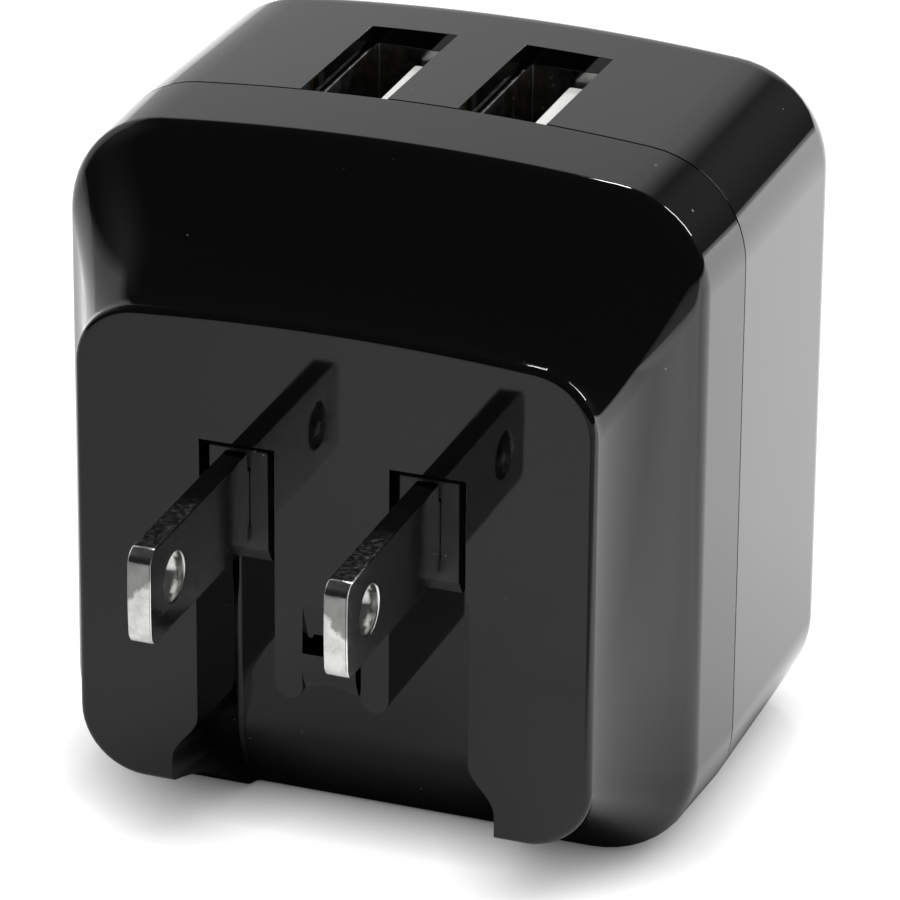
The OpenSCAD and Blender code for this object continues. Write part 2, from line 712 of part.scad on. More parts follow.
// A wire from a contact spring to the main board
module lead() {
    start = [blade_pitch / 2, seat_d + solder_tab + fit, seat_top - spring_t / 2 - lead_d / 2];
    sides = 8;
    last = start + lead_route[len(lead_route) - 1];
    p = concat([for (q = lead_route) start + q], [[last[0], board_y - fit, last[2]]]);
    rings = [for (i = [0:len(p) - 1]) let (t = along(p, i), u = unit(cross(t, [0, 0.3, 1])), v = cross(t, u))
        for (j = [0:sides - 1]) p[i] + lead_d / 2 * (u * cos(360 * j / sides) + v * sin(360 * j / sides))];
    tube(rings, len(p) - 1, sides);
}

module lead_left() color("#f2f2f0") place() mirror([1, 0, 0]) lead();
module lead_right() color("#1a1a1c") place() lead();

front_shell();
rear_shell();
blade_carrier();
blade_left();
blade_right();
pivot_cap_left();
pivot_cap_right();
contact_spring_left();
contact_spring_right();
detent_spring();
adapter_latch();
latch_spring();
usb_shell_left();
usb_shell_right();
usb_tongue_left();
usb_tongue_right();
usb_contacts_left();
usb_contacts_right();
socket_board();
board_pins();
charge_chips();
main_board();
transformer_core();
transformer_winding();
input_capacitors();
output_capacitors();
safety_capacitor();
fuse();
choke();
bridge_rectifier();
controller_chip();
output_diode();
optocoupler();
lead_left();
lead_right();
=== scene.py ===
import json
import math

import bmesh
import bpy
from mathutils import Matrix, Vector


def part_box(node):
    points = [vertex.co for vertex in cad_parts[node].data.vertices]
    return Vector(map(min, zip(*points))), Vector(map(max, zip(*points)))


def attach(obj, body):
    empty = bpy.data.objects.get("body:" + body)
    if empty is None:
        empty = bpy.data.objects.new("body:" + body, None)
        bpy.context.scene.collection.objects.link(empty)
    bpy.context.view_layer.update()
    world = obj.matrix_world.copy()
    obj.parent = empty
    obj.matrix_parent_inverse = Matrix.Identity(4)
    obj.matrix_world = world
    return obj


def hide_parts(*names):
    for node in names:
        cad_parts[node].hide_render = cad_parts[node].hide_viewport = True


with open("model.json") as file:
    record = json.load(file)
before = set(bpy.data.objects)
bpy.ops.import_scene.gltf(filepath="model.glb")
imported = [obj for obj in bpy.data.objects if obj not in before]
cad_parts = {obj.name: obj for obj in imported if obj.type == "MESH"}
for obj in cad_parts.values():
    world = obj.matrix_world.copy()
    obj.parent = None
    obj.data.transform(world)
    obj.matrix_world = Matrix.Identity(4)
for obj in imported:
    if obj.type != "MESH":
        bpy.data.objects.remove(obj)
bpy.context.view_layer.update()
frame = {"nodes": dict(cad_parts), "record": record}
NODES = frame["nodes"]

# Drawn in millimetres as in the part's source, with y = 0 at the plug face and growing backwards
MM = 0.001
PLUG_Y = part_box("front_shell")[0][1]

# body
BODY_W, BODY_H, BODY_D = 43.1, 47.0, 36.6
HALF_W = BODY_W / 2
PARTING_D, CREASE_D = 15.8, 8.9
CORNER_R, CROWN_R, WALL, BACK_R = 7.0, 165.0, 1.8, 4.0
FRONT_DRAFT, BACK_DROP = 0.3, 0.4
LIP_W, LIP_D = 0.7, 1.2
# plug face
FACE_W, FACE_LOW, FACE_TOP, FACE_R = 34.6, 4.6, 37.9, 4.4
FACE_STEP, FACE_EDGE = 0.55, 0.5
ISLAND_W, CHANNEL_W, CHANNEL_D, ISLAND_LOW = 7.66, 18.3, 6.9, 12.1
# the channel's floor curves back below FLOOR_LOW, by FLOOR_BACK at the bottom
FLOOR_LOW, FLOOR_BACK = 6.5, 3.4
# the channel's sides run outwards by FLARE_W on the way down from FLARE_TOP to FLARE_LOW
FLARE_W, FLARE_TOP, FLARE_LOW = 2.05, 9.6, 6.4
# the flank's control point, as shares of its depth and its spread, and about how long the flank is
SWEEP_Y, SWEEP_OFF, FLANK_L = 0.53, 0.16, 9
FLANK_N, CREASE_N, CREASE_R = 16, 6, 0.75
# the parting line's groove: each ring's distance from the parting plane, and how far inwards it is
GROOVE_FRONT = ((0.10, 0.0), (0.07, 0.02), (0.06, 0.15))
GROOVE_REAR = ((0.04, 0.15), (0.05, 0.02), (0.08, 0.0))
# plug
BLADE_PITCH, BLADE_W, BLADE_T, BLADE_OUT = 12.7, 6.35, 1.52, 15.8
HOLE_OUT, HOLE_D, BLADE_Z, PIVOT_D = 11.95, 3.18, 25.5, 3.5
WINDOW_W, BLOCK_W, PIN_D, BARREL_D = 5.04, 4.0, 2.8, 5.0
WINDOW_OUT = BLADE_PITCH / 2 + WINDOW_W / 2
WINDOW_IN = ISLAND_W / 2
WINDOW_TOP, WINDOW_LOW = BLADE_Z + 3.6, BLADE_Z - 4.75
FLOOR_TOP = WINDOW_LOW - 0.4
SEAT_D, SEAT_TOP, TROUGH_T = 6.35, WINDOW_TOP + 3, 1.2
TROUGH_W = CHANNEL_W + 2 * (FLARE_W + TROUGH_T)
CHEEK_T, BEARING_END, PIN_GAP, GAP = 2.2, 0.3, 0.05, 0.15
HUB_R = PIN_D / 2 + 0.7
TUBE_R = BARREL_D / 2 - 0.5
SHANK_W, SHANK_PLAY = 4.0, 0.005
# cuts that open into the shell run back to OPEN_D, and the windows' cut to WINDOW_D
OPEN_D, WINDOW_D = 14, 12
# the pegs of the contact springs, and the opening for the detent leaf
PEG_R, PEG_L, PEG_Z = 0.6, 0.75, WINDOW_TOP + 1.5
LEAF_HALF, LEAF_D, LEAF_TOP = 2.98, 5.5, BLADE_Z + 1.65
# latch
LATCH_W, LATCH_NOSE, NOSE_H, LATCH_SLIT, RECESS_H = 3.6, 0.5, 2.7, 0.7, 2.4
LATCH_LOW = ISLAND_LOW + 0.9
SLIT_LOW = LATCH_LOW + NOSE_H
SLIT_TOP = SLIT_LOW + LATCH_SLIT
RECESS_TOP = SLIT_TOP + RECESS_H
LATCH_ARM_Y, LATCH_ARM_T, RECESS_D = 1.7, 1.5, 0.45
ARM_TOP = RECESS_TOP + 1.4
SHOULDER, SHOULDER_POCKET, NOSE_RISE = 0.45, 0.6, 0.45
# sockets
SOCKET_X, PORT_W, PORT_L, PORT_PLAY = 5.3, 5.9, 12.8, 0.1
SHELL_W, SHELL_L, SHELL_T = 5.72, 13.1, 0.3
SOCKET_Y = PARTING_D + SHELL_L / 2 + 0.05
RIM_SINK, CROWN_DROP, SOCKET_H = 1.35, 0.25, 14.4
RIM_Z = BODY_H - RIM_SINK - CROWN_DROP
SOCKET_Z = RIM_Z - SOCKET_H
FINGER_Y, FINGER_SLOT, FINGER_W, FINGER_LOW, FINGER_TOP = 2.8, 1.8, 1.4, 8, 3.5
TONGUE_X, TONGUE_T, TONGUE_W, TONGUE_SINK = 1.1, 1.84, 11.1, 0.9
# the main board's outline, and the posts behind it
BOARD_W, BOARD_LOW, BOARD_TOP, BOARD_BACK = 36.5, 3.2, 41, 33.8
POST_D = 3.6


def at(x, y, z):
    """A point of the drawing in the part's frame, in metres."""
    return Vector((x * MM, y * MM + PLUG_Y, z * MM))


# ---------------------------------------------------------------- mesh tools

def arc(x, z, r, a, b, n):
    return [(x + r * math.cos(math.radians(a + (b - a) * i / n)),
             z + r * math.sin(math.radians(a + (b - a) * i / n))) for i in range(n + 1)]


def circle(u, v, r, n):
    return [(u + r * math.cos(2 * math.pi * i / n), v + r * math.sin(2 * math.pi * i / n))
            for i in range(n)]


def quarter_turn(n):
    """The angles of a quarter turn in n steps."""
    return [math.pi / 2 * k / n for k in range(n + 1)]


def outline(hw, z0, z1, r, s=0.0, n=12, crown_n=20):
    """The body's outline from the front, with a crowned top that runs tangentially into the corners."""
    w, rr, low, high, cr = hw - s, r - s, z0 + s, z1 - s, CROWN_R - s
    m = cr - rr
    cz = high - cr
    t = math.degrees(math.acos((w - rr) / m))
    zc = cz + m * math.sin(math.radians(t))
    crown = arc(0, cz, cr, t, 180 - t, crown_n)
    return (arc(w - rr, low + rr, rr, -90, 0, n) + arc(w - rr, zc, rr, 0, t, n) + crown[1:-1]
            + arc(rr - w, zc, rr, 180 - t, 180, n) + arc(rr - w, low + rr, rr, 180, 270, n))


def parting_outline(s=0.0):
    return outline(HALF_W, 0, BODY_H, CORNER_R, s)


def crease_outline(s=0.0):
    return outline(HALF_W - FRONT_DRAFT, FRONT_DRAFT, BODY_H - FRONT_DRAFT / 3, CORNER_R - FRONT_DRAFT, s)


def face_outline(s=0.0):
    return outline(FACE_W / 2, FACE_LOW, FACE_TOP, FACE_R, s)


def back_outline(s=0.0):
    return outline(HALF_W - BACK_DROP / 3, 0, BODY_H - BACK_DROP, CORNER_R, s)


def mesh_object(name, bm):
    me = bpy.data.meshes.new(name)
    bmesh.ops.recalc_face_normals(bm, faces=bm.faces)
    bm.to_mesh(me)
    bm.free()
    ob = bpy.data.objects.new(name, me)
    bpy.context.scene.collection.objects.link(ob)
    return ob


def loft(name, rings, closed=False):
    """A mesh through rings of points (x, y, z) with the same number of points, capped at both ends."""
    bm = bmesh.new()
    grid = [[bm.verts.new(at(*p)) for p in ring] for ring in rings]
    pairs = list(zip(grid, grid[1:])) + ([(grid[-1], grid[0])] if closed else [])
    for a, b in pairs:
        for i in range(len(a)):
            j = (i + 1) % len(a)
            bm.faces.new((a[i], a[j], b[j], b[i]))
    if not closed:
        bm.faces.new(grid[0])
        bm.faces.new(list(reversed(grid[-1])))
    return mesh_object(name, bm)


def prism_y(name, points, y0, y1):
    return loft(name, [[(x, y0, z) for x, z in points], [(x, y1, z) for x, z in points]])


def prism_x(name, points, x0, x1):
    return loft(name, [[(x0, y, z) for y, z in points], [(x1, y, z) for y, z in points]])


def block(name, a, b):
    return prism_y(name, [(a[0], a[2]), (b[0], a[2]), (b[0], b[2]), (a[0], b[2])], a[1], b[1])


def rod_x(name, x0, x1, y, z, r, n=48):
    return prism_x(name, circle(y, z, r, n), x0, x1)


def rod_y(name, x, y0, y1, z, r, n=32):
    return prism_y(name, circle(x, z, r, n), y0, y1)


def combine(ob, tools, how="DIFFERENCE"):
    """Cuts each tool from ob, or joins it to ob, and deletes the tools."""
    for tool in tools:
        m = ob.modifiers.new("cut", "BOOLEAN")
        m.operation = how
        m.solver = "EXACT"
        m.object = tool
        dg = bpy.context.evaluated_depsgraph_get()
        me = bpy.data.meshes.new_from_object(ob.evaluated_get(dg))
        ob.modifiers.clear()
        old = ob.data
        ob.data = me
        bpy.data.meshes.remove(old)
        bpy.data.objects.remove(tool)
    return ob


def clean(ob, dist=0.004):
    bm = bmesh.new()
    bm.from_mesh(ob.data)
    bmesh.ops.remove_doubles(bm, verts=bm.verts, dist=dist * MM)
    bmesh.ops.dissolve_degenerate(bm, edges=bm.edges, dist=dist * MM)
    bmesh.ops.recalc_face_normals(bm, faces=bm.faces)
    bm.to_mesh(ob.data)
    bm.free()
    return ob


def bevel_where(ob, test, width, segments=3, angle=30):
    """Rounds the sharp edges whose middle, in drawing millimetres, passes the test."""
    bm = bmesh.new()
    bm.from_mesh(ob.data)
    chosen = []
    for e in bm.edges:
        if len(e.link_faces) != 2 or e.calc_face_angle(0) < math.radians(angle):
            continue
        m = (e.verts[0].co + e.verts[1].co) / 2
        if test(m.x / MM, (m.y - PLUG_Y) / MM, m.z / MM):
            chosen.append(e)
    bmesh.ops.bevel(bm, geom=chosen, offset=width * MM, offset_type="OFFSET", segments=segments,
                    profile=0.5, affect="EDGES", clamp_overlap=True)
    bm.to_mesh(ob.data)
    bm.free()
    return ob


def shade(ob, angle=30):
    """Smooth shading with sharp edges kept, and flat faces kept flat beside their rounded edges."""
    bm = bmesh.new()
    bm.from_mesh(ob.data)
    for f in bm.faces:
        f.smooth = True
    for e in bm.edges:
        e.smooth = len(e.link_faces) == 2 and e.calc_face_angle(0) < math.radians(angle)
    bm.to_mesh(ob.data)
    bm.free()
    m = ob.modifiers.new("flat faces", "WEIGHTED_NORMAL")
    m.keep_sharp = True
    m.weight = 80
    return ob


def join(name, obs):
    bm = bmesh.new()
    for o in obs:
        bm.from_mesh(o.data)
        bpy.data.objects.remove(o)
    return mesh_object(name, bm)


def finish_piece(ob, name, body, slot, *nodes):
    ob.name = name
    ob.data.name = name
    ob.data.materials.clear()
    ob.data.materials.append(MATS[slot])
    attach(ob, body)
    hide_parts(*nodes)


# ---------------------------------------------------------------- materials

def new_material(name, base, metallic=0.0, roughness=0.3, ior=1.5):
    mat = bpy.data.materials.new(name)
    mat.use_nodes = True
    nt = mat.node_tree
    b = nt.nodes["Principled BSDF"]
    b.inputs["Base Color"].default_value = (*base, 1)
    b.inputs["Metallic"].default_value = metallic
    b.inputs["Roughness"].default_value = roughness
    b.inputs["IOR"].default_value = ior
    return mat, nt, b


def coords(nt, scale=(1, 1, 1)):
    tc = nt.nodes.new("ShaderNodeTexCoord")
    mp = nt.nodes.new("ShaderNodeMapping")
    mp.inputs["Scale"].default_value = scale
    nt.links.new(tc.outputs["Object"], mp.inputs["Vector"])
    return mp.outputs["Vector"]


def noise(nt, vec, scale, detail=3.0, rough=0.5):
    n = nt.nodes.new("ShaderNodeTexNoise")
    n.inputs["Scale"].default_value = scale
    n.inputs["Detail"].default_value = detail
    n.inputs["Roughness"].default_value = rough
    nt.links.new(vec, n.inputs["Vector"])
    return n.outputs["Fac"]


def ramp(nt, fac, stops):
    """A colour ramp between two stops, each (position, colour)."""
    r = nt.nodes.new("ShaderNodeValToRGB")
    for el, (pos, col) in zip(r.color_ramp.elements, stops):
        el.position = pos
        el.color = (*col, 1)
    nt.links.new(fac, r.inputs["Fac"])
    return r.outputs["Color"]


def span(nt, fac, lo, hi, to_lo, to_hi):
    m = nt.nodes.new("ShaderNodeMapRange")
    for key, val in (("From Min", lo), ("From Max", hi), ("To Min", to_lo), ("To Max", to_hi)):
        m.inputs[key].default_value = val
    nt.links.new(fac, m.inputs["Value"])
    return m.outputs["Result"]


def maths(nt, op, a, b=None):
    m = nt.nodes.new("ShaderNodeMath")
    m.operation = op
    for i, v in enumerate((a, b)):
        if v is None:
            continue
        if isinstance(v, (int, float)):
            m.inputs[i].default_value = v
        else:
            nt.links.new(v, m.inputs[i])
    return m.outputs["Value"]


def mix(nt, fac, a, b):
    m = nt.nodes.new("ShaderNodeMix")
    m.data_type = "RGBA"
    for key, v in (("Factor", fac), ("A", a), ("B", b)):
        sock = [s for s in m.inputs if s.name == key and s.enabled][0]
        if isinstance(v, tuple):
            sock.default_value = (*v, 1)
        else:
            nt.links.new(v, sock)
    return [s for s in m.outputs if s.enabled][0]


def bump(nt, b, height, strength, distance):
    n = nt.nodes.new("ShaderNodeBump")
    n.inputs["Strength"].default_value = strength
    n.inputs["Distance"].default_value = distance
    nt.links.new(height, n.inputs["Height"])
    nt.links.new(n.outputs["Normal"], b.inputs["Normal"])


def specks(nt, vec, per_m, size, share):
    """Dust: a small dot in a share of the cells of a random lattice, per_m cells to a metre."""
    v = nt.nodes.new("ShaderNodeTexVoronoi")
    v.inputs["Scale"].default_value = per_m
    nt.links.new(vec, v.inputs["Vector"])
    sep = nt.nodes.new("ShaderNodeSeparateColor")
    nt.links.new(v.outputs["Color"], sep.inputs["Color"])
    big = maths(nt, "MULTIPLY", sep.outputs["Green"], size)
    near = maths(nt, "LESS_THAN", v.outputs["Distance"], big)
    some = maths(nt, "LESS_THAN", sep.outputs["Red"], share)
    return maths(nt, "MULTIPLY", near, some)


def gloss_black():
    """Polished plastic with sparse dust, mostly in patches, and a slight wave in its gloss."""
    black, grey_dust = (0.0014, 0.0014, 0.0015), (0.16, 0.16, 0.155)
    mat, nt, b = new_material("gloss_black", black, roughness=0.045)
    vec = coords(nt)
    dust = specks(nt, vec, 620, 0.085, 0.10)
    lint = specks(nt, vec, 1300, 0.10, 0.05)
    both = maths(nt, "MAXIMUM", dust, lint)
    patch = noise(nt, vec, 160, 2)
    both = maths(nt, "MULTIPLY", both, span(nt, patch, 0.42, 0.62, 0.15, 1.0))
    nt.links.new(mix(nt, both, black, grey_dust), b.inputs["Base Color"])
    haze = noise(nt, vec, 90, 4, 0.6)
    rough = span(nt, haze, 0.35, 0.7, 0.035, 0.075)
    nt.links.new(maths(nt, "ADD", rough, maths(nt, "MULTIPLY", both, 0.5)), b.inputs["Roughness"])
    wave = noise(nt, vec, 120, 1)
    bump(nt, b, wave, 0.05, 0.0002)
    return mat


def satin_black():
    """Duller plastic with fine pale dust, for the plug's block."""
    mat, nt, b = new_material("satin_black", (0.012, 0.012, 0.0125), roughness=0.42)
    vec = coords(nt)
    dust = specks(nt, vec, 1500, 0.14, 0.22)
    blotch = noise(nt, vec, 700, 5, 0.65)
    base = ramp(nt, blotch, [(0.3, (0.006, 0.006, 0.0063)), (0.7, (0.019, 0.019, 0.0195))])
    nt.links.new(mix(nt, dust, base, (0.14, 0.14, 0.135)), b.inputs["Base Color"])
    nt.links.new(span(nt, blotch, 0.3, 0.7, 0.34, 0.55), b.inputs["Roughness"])
    bump(nt, b, noise(nt, vec, 4200, 3), 0.25, 0.00002)
    return mat


def nickel():
    """Plating with fine wear, and a worn grey patch on the upper half of each blade's end."""
    mat, nt, b = new_material("nickel", (0.78, 0.775, 0.76), metallic=1.0, roughness=0.12)
    vec = coords(nt)
    fine = noise(nt, coords(nt, (1, 1, 7)), 2600, 4, 0.6)
    blotch = noise(nt, vec, 850, 5, 0.7)
    plating = ramp(nt, blotch, [(0.32, (0.62, 0.62, 0.61)), (0.55, (0.88, 0.875, 0.86))])
    place = nt.nodes.new("ShaderNodeSeparateXYZ")
    nt.links.new(vec, place.inputs["Vector"])
    # the patch lies above a ragged border, which slants down on the way out from the charger's middle
    ragged, slant, border, strength = 3 * MM, 0.9, 1.9, 0.72
    outwards = maths(nt, "ABSOLUTE", place.outputs["X"])
    height = maths(nt, "ADD", place.outputs["Z"], maths(nt, "MULTIPLY", blotch, ragged))
    height = maths(nt, "ADD", height, maths(nt, "MULTIPLY", outwards, slant))
    middle = (BLADE_Z + border + slant * BLADE_PITCH / 2) * MM
    upper = span(nt, height, middle - 0.1 * MM, middle + 0.25 * MM, 0, strength)
    tip = PLUG_Y - BLADE_OUT * MM
    end = span(nt, place.outputs["Y"], tip + 0.35 * MM, tip + 0.2 * MM, 0, 1)
    worn = maths(nt, "MULTIPLY", upper, end)
    nt.links.new(mix(nt, worn, plating, (0.1, 0.1, 0.1)), b.inputs["Base Color"])
    nt.links.new(span(nt, fine, 0.3, 0.7, 0.07, 0.2), b.inputs["Roughness"])
    bump(nt, b, maths(nt, "ADD", fine, maths(nt, "MULTIPLY", blotch, 1.6)), 0.25, 0.00002)
    return mat


def sheet_steel():
    """The sockets' dull mottled steel."""
    mat, nt, b = new_material("socket_steel", (0.4, 0.4, 0.4), metallic=1.0, roughness=0.16)
    vec = coords(nt)
    blotch = noise(nt, vec, 900, 4, 0.6)
    nt.links.new(ramp(nt, blotch, [(0.3, (0.2, 0.2, 0.2)), (0.65, (0.42, 0.42, 0.42))]),
                 b.inputs["Base Color"])
    nt.links.new(span(nt, blotch, 0.3, 0.7, 0.1, 0.28), b.inputs["Roughness"])
    bump(nt, b, blotch, 0.15, 0.00002)
    return mat


def plain(name, base, roughness, metallic=0.0, spread=0.35, scale=900):
    """A moulded, printed or rolled material with slight mottling."""
    mat, nt, b = new_material(name, base, metallic=metallic, roughness=roughness)
    vec = coords(nt)
    n = noise(nt, vec, scale, 4, 0.6)
    dark = tuple(c * (1 - spread) for c in base)
    nt.links.new(ramp(nt, n, [(0.3, dark), (0.65, base)]), b.inputs["Base Color"])
    nt.links.new(span(nt, n, 0.3, 0.7, roughness * 0.75, min(1, roughness * 1.25)), b.inputs["Roughness"])
    bump(nt, b, n, 0.1, 0.00002)
    return mat


MATS = {
    "gloss_black": gloss_black(),
    "satin_black": satin_black(),
    "nickel": nickel(),
    "socket_steel": sheet_steel(),
    "brass": plain("brass", (0.80, 0.60, 0.28), 0.25, 1.0, 0.25),
    "spring_steel": plain("spring_steel", (0.62, 0.62, 0.63), 0.22, 1.0, 0.2),
    "white_plastic": plain("white_plastic", (0.84, 0.84, 0.82), 0.38, 0, 0.06),
    "circuit_board": plain("circuit_board", (0.02, 0.17, 0.07), 0.3, 0, 0.35, 500),
    "chip_black": plain("chip_black", (0.025, 0.025, 0.028), 0.5),
    "ferrite": plain("ferrite", (0.055, 0.055, 0.06), 0.6, 0, 0.4),
    "yellow_tape": plain("yellow_tape", (0.72, 0.5, 0.05), 0.25, 0, 0.15),
    "capacitor_sleeve": plain("capacitor_sleeve", (0.03, 0.06, 0.13), 0.3, 0, 0.2),
    "blue_ceramic": plain("blue_ceramic", (0.03, 0.15, 0.5), 0.3, 0, 0.2),
    "white_wire": plain("white_wire", (0.78, 0.78, 0.76), 0.45, 0, 0.08),
    "black_wire": plain("black_wire", (0.02, 0.02, 0.02), 0.45, 0, 0.2),
}


# ---------------------------------------------------------------- front shell

def lerp(a, b, t):
    return tuple(x + (y - x) * t for x, y in zip(a, b))


def toward(a, b, d):
    """The point d from a on the way to b."""
    n = math.dist(a, b)
    return lerp(a, b, d / n)


def bezier(a, b, c, t):
    return lerp(lerp(a, b, t), lerp(b, c, t), t)


def front_rings():
    """The outside of the front shell: rounded plate edge, hollow flank, crease and skirt."""
    rings = []
    for a in quarter_turn(6):
        y = FACE_EDGE * (1 - math.cos(a))
        rings.append([(x, y, z) for x, z in face_outline(FACE_EDGE * (1 - math.sin(a)))])
    face, crease, part = face_outline(), crease_outline(), parting_outline()
    y0 = FACE_STEP

    def flank(i, t):
        u = 2 * t * (1 - t) * SWEEP_OFF + t * t
        v = 2 * t * (1 - t) * SWEEP_Y + t * t
        x, z = lerp(face[i], crease[i], u)
        return (x, y0 + (CREASE_D - y0) * v, z)

    n = len(face)
    cut = 1 - CREASE_R / FLANK_L         # the share of the flank before the crease's curve
    for k in range(FLANK_N + 1):
        rings.append([flank(i, cut * k / FLANK_N) for i in range(n)])
    ends = [(flank(i, cut), (crease[i][0], CREASE_D, crease[i][1]), (part[i][0], PARTING_D, part[i][1]))
            for i in range(n)]
    for k in range(1, CREASE_N + 1):
        rings.append([bezier(a, b, toward(b, c, CREASE_R), k / CREASE_N) for a, b, c in ends])
    for before, inwards in GROOVE_FRONT:
        rings.append([(x, PARTING_D - before, z) for x, z in parting_outline(inwards)])
    return rings


def floor_y(z):
    """How deep the channel's floor lies at a height."""
    return CHANNEL_D + FLOOR_BACK * max(0, (FLOOR_LOW - z) / FLOOR_LOW) ** 2


def mouth_half(z):
    """Half the channel's width at the plug face: its sides run outwards in an S near the bottom."""
    t = min(1, max(0, (FLARE_TOP - z) / (FLARE_TOP - FLARE_LOW)))
    return CHANNEL_W / 2 + FLARE_W * (1 - math.cos(math.pi * t)) / 2


def channel_tool():
    """The channel, whose flare dies out towards its floor, and the windows, as one lofted cutter."""
    heights = [-1 + 0.8 * i for i in range(10)]
    heights += [FLARE_LOW + (FLARE_TOP - FLARE_LOW) * i / 12 for i in range(1, 13)]
    heights += [ISLAND_LOW, FLOOR_TOP]
    levels = [(z, mouth_half(z), floor_y(z)) for z in heights]
    levels += [(FLOOR_TOP + 0.01, CHANNEL_W / 2, WINDOW_D), (WINDOW_LOW, CHANNEL_W / 2, WINDOW_D),
               (WINDOW_LOW + 0.01, WINDOW_OUT, WINDOW_D), (WINDOW_TOP, WINDOW_OUT, WINDOW_D)]
    levels.sort()
    fillet = 0.35
    rings = []
    for z, hw, depth in levels:
        foot = WINDOW_OUT if hw == WINDOW_OUT else CHANNEL_W / 2
        back = arc(foot - fillet, depth - fillet, fillet, 0, 90, 4)
        left = [(-x, y) for x, y in reversed(back)]
        rings.append([(x, y, z) for x, y in [(hw, -1.0)] + back + left + [(-hw, -1.0)]])
    return loft("tool", rings)


def island_tool():
    """The island with its two round-ended strips, seen from the front."""
    inner = LATCH_W / 2 + GAP
    r = (WINDOW_IN - inner) / 2
    right = arc(WINDOW_IN - r, ISLAND_LOW + r, r, -180, 0, 16)
    left = [(-x, z) for x, z in reversed(right)]
    top = 33.0
    pts = [(-WINDOW_IN, top)] + left + [(-inner, SLIT_TOP), (inner, SLIT_TOP)] + right + [(WINDOW_IN, top)]
    return prism_y("tool", pts, -2, OPEN_D)


def front_hollow():
    """The inside of the front shell, less the walls round the channel, the plug's seat and its cheeks."""
    s = WALL
    y0, y1 = FACE_STEP + s, CREASE_D + s / 3
    # the flank's inside follows the same kind of curve: its start, control point and end, point by point
    a, b, c = [[(x, y, z) for x, z in ring] for ring, y in (
        (face_outline(s), y0), (face_outline(s), y0 + (y1 - y0) * SWEEP_Y), (crease_outline(s), y1))]
    b = [(p[0] + (q[0] - p[0]) * SWEEP_OFF, p[1], p[2] + (q[2] - p[2]) * SWEEP_OFF) for p, q in zip(b, c)]
    lip = s - LIP_W - 0.05               # the rear shell's lip fits in here
    inner = loft("tool", [[bezier(*p, k / 8) for p in zip(a, b, c)] for k in range(9)] + [
        [(x, PARTING_D - LIP_D - 0.1, z) for x, z in parting_outline(s)],
        [(x, PARTING_D - LIP_D - 0.09, z) for x, z in parting_outline(lip)],
        [(x, PARTING_D + 1, z) for x, z in parting_outline(lip)]])
    start = WALL / 2                     # the walls behind the plate begin inside its thickness
    back = CHANNEL_D + TROUGH_T
    floor = [(floor_y(z) + TROUGH_T, z) for z in [-1 + i for i in range(13)] + [ISLAND_LOW]]
    trough = prism_x("tool", [(start, -1.0)] + floor + [(back, FLOOR_TOP), (start, FLOOR_TOP)],
                     -TROUGH_W / 2, TROUGH_W / 2)
    seat = block("tool", (-TROUGH_W / 2, start, FLOOR_TOP - 0.01), (TROUGH_W / 2, SEAT_D, SEAT_TOP))
    cheeks = [block("tool", (x, start, WINDOW_LOW), (x + CHEEK_T, back, WINDOW_TOP + TROUGH_T))
              for x in (WINDOW_OUT, -WINDOW_OUT - CHEEK_T)]
    return combine(inner, [trough, seat] + cheeks)


def latch_cuts():
    """The sloping recess over the latch, and the pocket for its shoulders."""
    w = LATCH_W / 2 + GAP
    fall = RECESS_D / RECESS_H
    recess = prism_x("tool", [(-0.5, RECESS_TOP + 0.5 / fall), (RECESS_D + 0.3 * fall, SLIT_TOP - 0.3),
                              (-0.5, SLIT_TOP - 0.3)], -w, w)
    pocket = block("tool", (-w - SHOULDER_POCKET, LATCH_ARM_Y - GAP, LATCH_LOW + NOSE_H / 2),
                   (w + SHOULDER_POCKET, CHANNEL_D, ARM_TOP + GAP))
    return [recess, pocket]


def open_bearing(x0, x1, r):
    """A round seat at the pivot for an axle of radius r, open towards the inside of the shell."""
    return [rod_x("tool", x0, x1, PIVOT_D, BLADE_Z, r),
            block("tool", (x0, PIVOT_D, BLADE_Z - r), (x1, OPEN_D, BLADE_Z + r))]


def build_front():
    outer = loft("front", front_rings())
    combine(outer, [front_hollow()])
    hole = channel_tool()
    combine(hole, [island_tool()])
    combine(outer, [hole])
    tools = latch_cuts()
    tools += open_bearing(-WINDOW_IN - 1, WINDOW_IN + 1, TUBE_R + GAP)
    tools.append(block("tool", (-LEAF_HALF, LEAF_D, FLOOR_TOP), (LEAF_HALF, OPEN_D, LEAF_TOP)))
    for side in (-1, 1):
        a, b = sorted((side * (WINDOW_OUT - 1), side * (WINDOW_OUT + CHEEK_T - BEARING_END)))
        tools += open_bearing(a, b, PIN_D / 2 + PIN_GAP)
    combine(outer, tools)
    clean(outer)
    # the edges of the windows, the channel and the island in the plug face
    bevel_where(outer, lambda x, y, z: y < 0.02 and abs(x) < 11.6 and z < 30, 0.13, 3)
    shade(outer, 35)
    for side in (-1, 1):
        peg = rod_y("tool", side * BLADE_PITCH / 2, SEAT_D - 0.01, SEAT_D + PEG_L, PEG_Z, PEG_R)
        combine(outer, [peg], "UNION")
    return outer


# ---------------------------------------------------------------- rear shell

